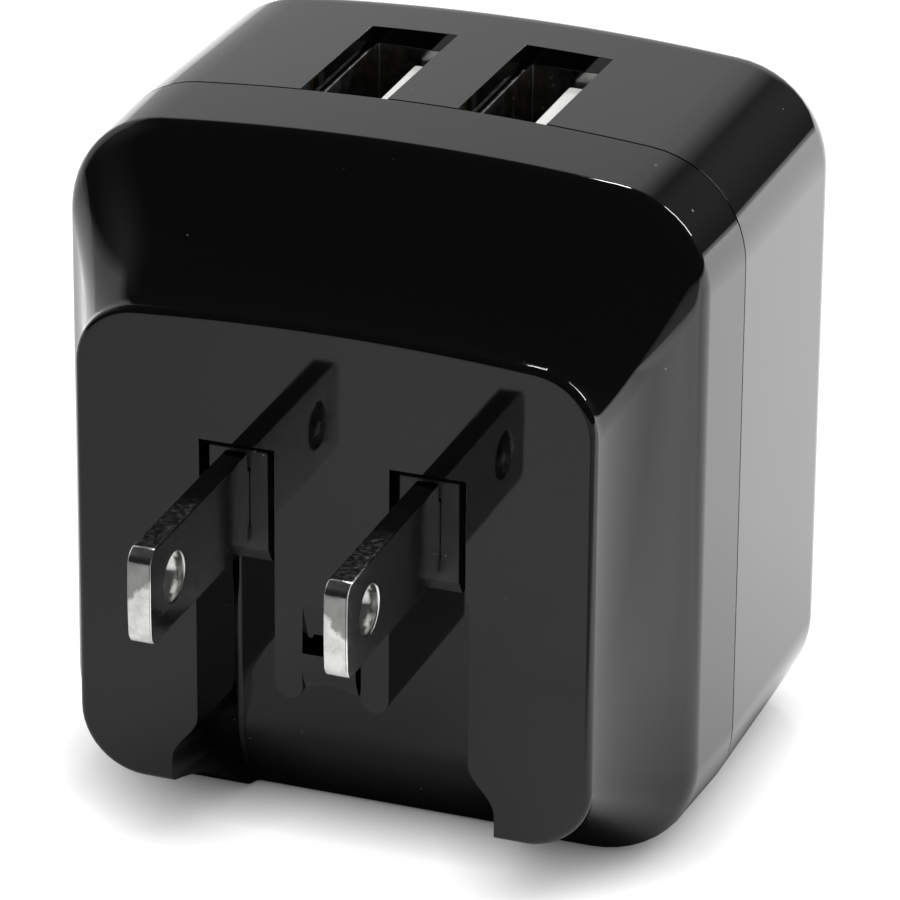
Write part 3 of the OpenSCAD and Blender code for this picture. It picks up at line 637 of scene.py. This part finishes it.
def build_rear():
    rings = [[(x, PARTING_D + after, z) for x, z in parting_outline(inwards)]
             for after, inwards in GROOVE_REAR]
    for a in quarter_turn(12):
        s = BACK_R * (1 - math.cos(a))
        rings.append([(x, BODY_D - BACK_R + BACK_R * math.sin(a), z) for x, z in back_outline(s)])
    outer = loft("rear", rings)
    inner = [[(x, PARTING_D - 1, z) for x, z in parting_outline(WALL)]]
    r = BACK_R - WALL
    for a in quarter_turn(6):
        ring = back_outline(WALL + r * (1 - math.cos(a)))
        inner.append([(x, BODY_D - BACK_R + r * math.sin(a), z) for x, z in ring])
    combine(outer, [loft("tool", inner)])
    tools = []
    for side in (-1, 1):
        x = side * SOCKET_X
        w = PORT_W / 2
        tools.append(block("tool", (x - w, PARTING_D - 1, RIM_Z - 1),
                           (x + w, PARTING_D + PORT_L, BODY_H + 2)))
        w = SHELL_W / 2 + PORT_PLAY
        tools.append(block("tool", (x - w, PARTING_D - 1, SOCKET_Z),
                           (x + w, SOCKET_Y + SHELL_L / 2 + PORT_PLAY, RIM_Z)))
    combine(outer, tools)
    clean(outer)
    # the socket holes' edges in the top
    bevel_where(outer, lambda x, y, z: z > 46 and 2 < abs(x) < 8.6 and 15.9 < y < 30, 0.14, 3)
    shade(outer, 35)
    lip = [[(x, y, z) for x, z in parting_outline(s)] for s, y in
           ((WALL - LIP_W, PARTING_D + 0.015), (WALL - LIP_W, PARTING_D - LIP_D),
            (WALL, PARTING_D - LIP_D), (WALL, PARTING_D + 0.015))]
    ring = loft("tool", lip, closed=True)
    posts = [rod_y("tool", sx * (BOARD_W / 2 - POST_D), BOARD_BACK, BODY_D - WALL + 0.01, z, POST_D / 2)
             for sx in (-1, 1) for z in (BOARD_LOW + POST_D, BOARD_TOP - POST_D)]
    for o in [ring] + posts:
        shade(o, 35)
        o.modifiers.clear()
    return shade(join("rear", [outer, ring] + posts), 35)


# ---------------------------------------------------------------- plug

def plate_with_hole(name, pts, holes, x0, x1, edge):
    """A flat stamped plate in the YZ plane with rounded edges all round, drawn as a filled curve."""
    cu = bpy.data.curves.new(name, "CURVE")
    cu.dimensions = "2D"
    cu.fill_mode = "BOTH"
    cu.extrude = ((x1 - x0) / 2 - edge) * MM
    cu.bevel_depth = edge * MM
    cu.bevel_resolution = 2
    cu.offset = -edge * MM
    for ring in [pts] + holes:
        sp = cu.splines.new("POLY")
        sp.points.add(len(ring) - 1)
        for p, (y, z) in zip(sp.points, ring):
            p.co = (y * MM, z * MM, 0, 1)
        sp.use_cyclic_u = True
    ob = bpy.data.objects.new(name, cu)
    bpy.context.scene.collection.objects.link(ob)
    dg = bpy.context.evaluated_depsgraph_get()
    me = bpy.data.meshes.new_from_object(ob.evaluated_get(dg))
    bpy.data.objects.remove(ob)
    # the curve lies in XY: its X is the part's Y, its Y is the part's Z, its Z is the part's X
    turn = Matrix(((0, 0, 1, (x0 + x1) / 2 * MM), (1, 0, 0, PLUG_Y), (0, 1, 0, 0), (0, 0, 0, 1)))
    me.transform(turn)
    ob = bpy.data.objects.new(name, me)
    bpy.context.scene.collection.objects.link(ob)
    clean(ob, 0.003)
    return ob


def build_blade(x):
    """A blade from its crowned tip to its tail, whose round end turns just short of SEAT_D."""
    w = BLADE_W / 2
    r = 0.95
    tip = -BLADE_OUT
    sag = 0.08                           # the sheared tip is slightly crowned
    end = [(tip + sag * ((2 * i / 8 - 1) ** 2), BLADE_Z + (w - r) * (1 - 2 * i / 8)) for i in range(9)]
    top = arc(tip + sag + r, BLADE_Z + w - r, r, 90, 178, 8)
    low = [(y, 2 * BLADE_Z - z) for y, z in reversed(top)]
    shank, tail = SHANK_W / 2, SEAT_D - GAP - PIVOT_D
    half = math.asin(shank / tail)
    back = [(PIVOT_D + tail * math.cos(a), BLADE_Z + tail * math.sin(a))
            for a in [-half + 2 * half * i / 8 for i in range(9)]]
    pts = top + end + low + [(0.0, BLADE_Z - w), (0.0, BLADE_Z - shank)]
    pts += back + [(0.0, BLADE_Z + shank), (0.0, BLADE_Z + w)]
    hole = circle(-HOLE_OUT, BLADE_Z, HOLE_D / 2, 40)
    return shade(plate_with_hole("blade", pts, [hole], x - BLADE_T / 2, x + BLADE_T / 2, 0.13), 40)


def build_carrier():
    """A block round each blade's shank, with a hub and a pin outside it, and a tube between them."""
    d, z0 = PIVOT_D, BLADE_Z
    up, down, back, front, chamfer, chamfer_h = 3.25, 4.5, 0.5, 0.3, 0.7, 1.0
    slot_h = SHANK_W / 2 + SHANK_PLAY
    parts = []
    for side in (-1, 1):
        x = side * BLADE_PITCH / 2
        prof = [(front, z0 + up), (front, z0 - down + chamfer_h), (front + chamfer, z0 - down),
                (d - back, z0 - down), (d - back, z0 - 1), (d + back, z0), (d + back, z0 + up)]
        b = prism_x("carrier", prof, x - BLOCK_W / 2, x + BLOCK_W / 2)
        barrel = rod_x("tool", x - BLOCK_W / 2 + 0.001, x + BLOCK_W / 2 - 0.001, d, z0, BARREL_D / 2)
        combine(b, [barrel], "UNION")
        slot = block("tool", (x - BLADE_T / 2 - SHANK_PLAY, -1, z0 - slot_h),
                     (x + BLADE_T / 2 + SHANK_PLAY, SEAT_D, z0 + slot_h))
        combine(b, [slot])
        clean(b)
        bevel_where(b, lambda px, py, pz: py < 0.9, 0.10, 2)
        shade(b, 35)
        b.modifiers.clear()
        parts.append(b)
        pin_end = WINDOW_OUT + CHEEK_T - BEARING_END - GAP
        for end, r in ((WINDOW_OUT - GAP, HUB_R), (pin_end, PIN_D / 2)):
            a, c = sorted((side * (BLADE_PITCH / 2 + BLOCK_W / 2 - 0.01), side * end))
            parts.append(rod_x("tool", a, c, d, z0, r))
    x = BLADE_PITCH / 2 - BLOCK_W / 2 + 0.01
    parts.append(rod_x("tool", -x, x, d, z0, TUBE_R))
    return shade(join("carrier", parts), 35)


def build_latch():
    """The nose with its arched lower edge, and behind it the arm with shoulders that hold it in."""
    w = LATCH_W / 2
    n = LATCH_NOSE
    prof = [(LATCH_ARM_Y, LATCH_LOW), (0.12, LATCH_LOW), (-n * 0.6, LATCH_LOW + NOSE_H * 0.3),
            (-n, LATCH_LOW + NOSE_H * 0.6), (-n, SLIT_LOW), (LATCH_ARM_Y, SLIT_LOW)]
    nose = prism_x("latch", prof, -w, w)
    r = (w * w + NOSE_RISE * NOSE_RISE) / (2 * NOSE_RISE)
    combine(nose, [rod_y("tool", 0, -3, 5, LATCH_LOW + NOSE_RISE - r, r, 160)])
    clean(nose)
    bevel_where(nose, lambda x, y, z: True, 0.08, 2, 25)
    shade(nose, 35)
    nose.modifiers.clear()
    back = LATCH_ARM_Y + LATCH_ARM_T
    arm = block("tool", (-w, LATCH_ARM_Y - 0.01, LATCH_LOW + NOSE_H / 2), (w, back, SLIT_LOW))
    top = block("tool", (-w - SHOULDER, LATCH_ARM_Y, SLIT_LOW), (w + SHOULDER, back, ARM_TOP))
    return shade(join("latch", [nose, arm, top]), 35)


# ---------------------------------------------------------------- sockets

def rounded(x, y, w, l, r, n=5):
    """A rectangle w by l about (x, y) with round corners."""
    return [p for cx, cy, a in ((x + w / 2 - r, y + l / 2 - r, 0), (x - w / 2 + r, y + l / 2 - r, 90),
                                (x - w / 2 + r, y - l / 2 + r, 180), (x + w / 2 - r, y - l / 2 + r, 270))
            for p in arc(cx, cy, r, a, a + 90, n)]


def build_usb_shell(x):
    """Folded sheet steel: rounded corners, a rolled rim, a closed bottom and spring fingers."""
    t, e = SHELL_T, 0.09

    def ring(grow, z, r):
        return [(px, py, z) for px, py in rounded(x, SOCKET_Y, SHELL_W + 2 * grow, SHELL_L + 2 * grow, r)]

    rings = [ring(-t, SOCKET_Z + 1, 0.2), ring(-t, RIM_Z - e, 0.2),
             ring(-t + 0.03, RIM_Z - 0.03, 0.23), ring(-t + e, RIM_Z, 0.3),
             ring(-e, RIM_Z, 0.42), ring(-0.03, RIM_Z - 0.03, 0.47),
             ring(0, RIM_Z - e, 0.5), ring(0, SOCKET_Z, 0.5)]
    ob = loft("usb_shell", rings)
    cuts = []
    for sy in (-1, 1):
        y = SOCKET_Y + sy * FINGER_Y
        cuts.append(block("tool", (x - SHELL_W, y - FINGER_SLOT / 2, RIM_Z - FINGER_LOW),
                          (x + SHELL_W, y + FINGER_SLOT / 2, RIM_Z - FINGER_TOP)))
    combine(ob, cuts)
    shade(ob, 30)
    ob.modifiers.clear()
    fingers = []
    for sy in (-1, 1):
        for sx in (-1, 1):
            y = SOCKET_Y + sy * FINGER_Y
            out = SHELL_W / 2
            root, bend, end = RIM_Z - FINGER_LOW - 0.01, RIM_Z - 4.6, RIM_Z - 3.9
            prof = [(out, root), (out - 0.75, bend), (out - 0.35, end),
                    (out - 0.6, end), (out - 1.0, bend), (out - t, root)]
            fingers.append(prism_y("tool", [(x + sx * px, pz) for px, pz in prof],
                                   y - FINGER_W / 2, y + FINGER_W / 2))
    return shade(join("usb_shell", [ob] + fingers), 30)


def build_tongue(x):
    """A white base that fills the socket's bottom, and the tongue that stands on it."""
    margin = SHELL_T + 0.02
    plan = rounded(x, SOCKET_Y, SHELL_W - 2 * margin, SHELL_L - 2 * margin, 0.2)
    base = loft("tool", [[(px, py, z) for px, py in plan] for z in (SOCKET_Z + 1, SOCKET_Z + 3.4)])
    c = x + TONGUE_X
    t, w, top, e = TONGUE_T / 2, TONGUE_W / 2, RIM_Z - TONGUE_SINK, 0.18
    plan = rounded(c, SOCKET_Y, 2 * t, 2 * w, 0.12, 3)
    tip = rounded(c, SOCKET_Y, 2 * (t - e), 2 * (w - e), 0.12, 3)
    tongue = loft("tool", [[(px, py, z) for px, py in ring]
                           for ring, z in ((plan, SOCKET_Z + 3.3), (plan, top - e), (tip, top))])
    return shade(join("tongue", [base, tongue]), 30)


# ---------------------------------------------------------------- put together

finish_piece(build_front(), "front_moulding", "housing", "gloss_black", "front_shell")
finish_piece(build_rear(), "rear_moulding", "housing", "gloss_black", "rear_shell")
for tag, side in (("left", -1), ("right", 1)):
    x = side * BLADE_PITCH / 2
    finish_piece(build_blade(x), "plug_blade_" + tag, "plug", "nickel", "blade_" + tag)
    s = side * SOCKET_X
    finish_piece(build_usb_shell(s), "socket_can_" + tag, "housing", "socket_steel", "usb_shell_" + tag)
    finish_piece(build_tongue(s), "socket_insert_" + tag, "housing", "white_plastic", "usb_tongue_" + tag)
finish_piece(build_carrier(), "plug_block", "plug", "satin_black", "blade_carrier")
finish_piece(build_latch(), "latch_nose", "latch", "gloss_black", "adapter_latch")

# the pieces inside keep their solids' shapes, and take the material that the record names
slots = {s["node"]: s["material_slot"] for s in frame["record"]["subparts"]}
for name, ob in NODES.items():
    if not ob.hide_render:
        ob.data.materials.clear()
        ob.data.materials.append(MATS[slots[name]])

# ---------------------------------------------------------------- camera

# fitted to the photograph: the blades' tips, holes and windows
AZ, EL, ROLL, DIST = math.radians(20.094), math.radians(24.668), math.radians(0.4645), 0.39896
TARGET = at(7.807, 0, 31.11)
back = Vector((math.sin(AZ) * math.cos(EL), -math.cos(AZ) * math.cos(EL), math.sin(EL)))
right = back.cross(Vector((0, 0, 1))).normalized() * -1
up = back.cross(right)
right, up = (right * math.cos(ROLL) + up * math.sin(ROLL), up * math.cos(ROLL) - right * math.sin(ROLL))
cam = bpy.data.cameras.new("camera")
cam.lens = 260
cam.sensor_width = 36
cam.clip_start = 0.01
cam.clip_end = 20
cam_ob = bpy.data.objects.new("camera", cam)
bpy.context.scene.collection.objects.link(cam_ob)
m = Matrix((right, up, back)).transposed().to_4x4()
m.translation = TARGET + back * DIST
cam_ob.matrix_world = m
bpy.context.scene.camera = cam_ob
bpy.context.scene.view_settings.view_transform = "Standard"

# ---------------------------------------------------------------- floor, lamps and world

# in metres: half the width of the floor, and the reach of the contact shadow that ambient occlusion paints
# on it
FLOOR_SIZE, CONTACT = 3, 0.005
# the studio as the gloss shows it: an even dark level, and soft-edged cards of light in it, in degrees
DARK = 0.045
CARDS = (                                # azimuth, elevation, width, height, softness, brightness
    (-42, 14, 90, 46, 6, 0.62),
    (-95, 32, 50, 30, 12, 0.18),
    (30, 20, 46, 30, 10, 0.13),
)
AIM = at(0, 18, 25)                      # the lamps point here, near the middle of the body


def grey(level):
    return (level, level, level)


def product(nt, first, *others):
    for other in others:
        first = maths(nt, "MULTIPLY", first, other)
    return first


def painted_table_light(nt, x, y, openness):
    """Painted light and shade on the table as the gloss shows it, with x and y in metres from the
    charger's middle.
    """
    # painted light and shade: brighter behind the charger than in front, dimmer far to the left, and
    # painted contact shadow where the two touch
    to_the_back = span(nt, y, -0.05, 0.05, 0.74, 1.3)
    far_left = span(nt, x, -0.07, -0.02, 0.8, 1)
    # painted contact shadow in the gloss: the table darkens with ambient occlusion under and beside the
    # charger
    contact = span(nt, openness, 0.3, 0.9, 0.05, 1)
    # painted shade in front of the charger from near its right side on, and painted light beyond its right
    # side
    dim = product(nt, span(nt, x, 0.012, 0.02, 0, 0.65), span(nt, y, -0.045, -0.03, 1, 0))
    bright = product(nt, span(nt, x, 0.03, 0.05, 0, 0.5), span(nt, y, 0.0, 0.015, 1, 0))
    return product(nt, to_the_back, far_left, contact,
                   maths(nt, "SUBTRACT", 1.0, dim), maths(nt, "ADD", 1.0, bright))


def floor_material():
    """White to the camera, with a contact shadow partly cast by the lamps and partly painted from ambient
    occlusion, and a table with painted light and shade in the gloss.
    """
    mat = bpy.data.materials.new("floor")
    mat.use_nodes = True
    nt = mat.node_tree
    nt.nodes.clear()
    out = nt.nodes.new("ShaderNodeOutputMaterial")
    path = nt.nodes.new("ShaderNodeLightPath")
    geo = nt.nodes.new("ShaderNodeNewGeometry")
    place = nt.nodes.new("ShaderNodeSeparateXYZ")
    nt.links.new(geo.outputs["Position"], place.inputs["Vector"])
    near = nt.nodes.new("ShaderNodeAmbientOcclusion")
    near.samples = 8
    near.inputs["Distance"].default_value = CONTACT
    lit = painted_table_light(nt, place.outputs["X"], place.outputs["Y"], near.outputs["AO"])
    tint = nt.nodes.new("ShaderNodeCombineColor")
    for key in ("Red", "Green", "Blue"):
        nt.links.new(lit, tint.inputs[key])
    # in the gloss the table shows its painted light and shade
    colour = mix(nt, path.outputs["Is Glossy Ray"], grey(0.9), tint.outputs["Color"])
    colour = mix(nt, path.outputs["Is Camera Ray"], colour, grey(0.4))
    diffuse = nt.nodes.new("ShaderNodeBsdfDiffuse")
    nt.links.new(colour, diffuse.inputs["Color"])
    glow = nt.nodes.new("ShaderNodeEmission")
    glow.inputs["Color"].default_value = (*grey(1), 1)
    # painted contact shadow: the white glow to the camera fades with ambient occlusion near the charger
    strength = product(nt, path.outputs["Is Camera Ray"], near.outputs["AO"], 0.9)
    nt.links.new(strength, glow.inputs["Strength"])
    add = nt.nodes.new("ShaderNodeAddShader")
    nt.links.new(diffuse.outputs["BSDF"], add.inputs[0])
    nt.links.new(glow.outputs["Emission"], add.inputs[1])
    nt.links.new(add.outputs["Shader"], out.inputs["Surface"])
    return mat


def card(nt, way, az, el, width, height, soft):
    """1 inside a rectangle of directions, fading out over soft degrees."""
    azi = maths(nt, "ARCTAN2", way.outputs["X"], way.outputs["Y"])
    ele = maths(nt, "ARCSINE", way.outputs["Z"])
    da = maths(nt, "ABSOLUTE", maths(nt, "SUBTRACT", azi, math.radians(az)))
    de = maths(nt, "ABSOLUTE", maths(nt, "SUBTRACT", ele, math.radians(el)))
    a = span(nt, da, math.radians(width / 2 - soft), math.radians(width / 2 + soft), 1, 0)
    b = span(nt, de, math.radians(height / 2 - soft), math.radians(height / 2 + soft), 1, 0)
    return maths(nt, "MULTIPLY", a, b)


def studio_world():
    """White to the camera, and the dark studio with its cards in the gloss."""
    world = bpy.data.worlds.new("studio")
    world.use_nodes = True
    nt = world.node_tree
    nt.nodes.clear()
    out = nt.nodes.new("ShaderNodeOutputWorld")
    background = nt.nodes.new("ShaderNodeBackground")
    path = nt.nodes.new("ShaderNodeLightPath")
    place = nt.nodes.new("ShaderNodeTexCoord")
    way = nt.nodes.new("ShaderNodeSeparateXYZ")
    nt.links.new(place.outputs["Generated"], way.inputs["Vector"])
    studio = DARK
    for az, el, width, height, soft, power in CARDS:
        light = maths(nt, "MULTIPLY", card(nt, way, az, el, width, height, soft), power)
        studio = maths(nt, "ADD", studio, light)
    level = mix(nt, path.outputs["Is Glossy Ray"], grey(0.62), studio)
    level = mix(nt, path.outputs["Is Camera Ray"], level, grey(1.0))
    nt.links.new(level, background.inputs["Color"])
    nt.links.new(background.outputs["Background"], out.inputs["Surface"])
    return world


def lamp(name, az, el, dist, size_x, size_y, power, roll=0, glossy=True):
    """A rectangular lamp at an azimuth from the back and an elevation, in degrees, facing AIM."""
    data = bpy.data.lights.new(name, "AREA")
    data.shape = "RECTANGLE"
    data.size, data.size_y = size_x, size_y
    data.energy = power
    ob = bpy.data.objects.new(name, data)
    bpy.context.scene.collection.objects.link(ob)
    a, e = math.radians(az), math.radians(el)
    d = Vector((math.sin(a) * math.cos(e), math.cos(a) * math.cos(e), math.sin(e)))
    rot = d.to_track_quat("Z", "Y").to_matrix() @ Matrix.Rotation(math.radians(roll), 3, "Z")
    m = rot.to_4x4()
    m.translation = AIM + d * dist
    ob.matrix_world = m
    ob.visible_glossy = glossy


bm = bmesh.new()
bmesh.ops.create_grid(bm, x_segments=1, y_segments=1, size=FLOOR_SIZE)
floor = mesh_object("floor", bm)
floor.data.materials.append(floor_material())
bpy.context.scene.world = studio_world()
lamp("lamp_top", -9.5, 48.5, 1.0, 0.16, 0.10, 2.0)
lamp("lamp_right", 34, 27, 1.0, 0.10, 0.42, 2.5, roll=-30)
lamp("overhead", 75, 58, 1.0, 0.6, 0.6, 5.0, glossy=False)
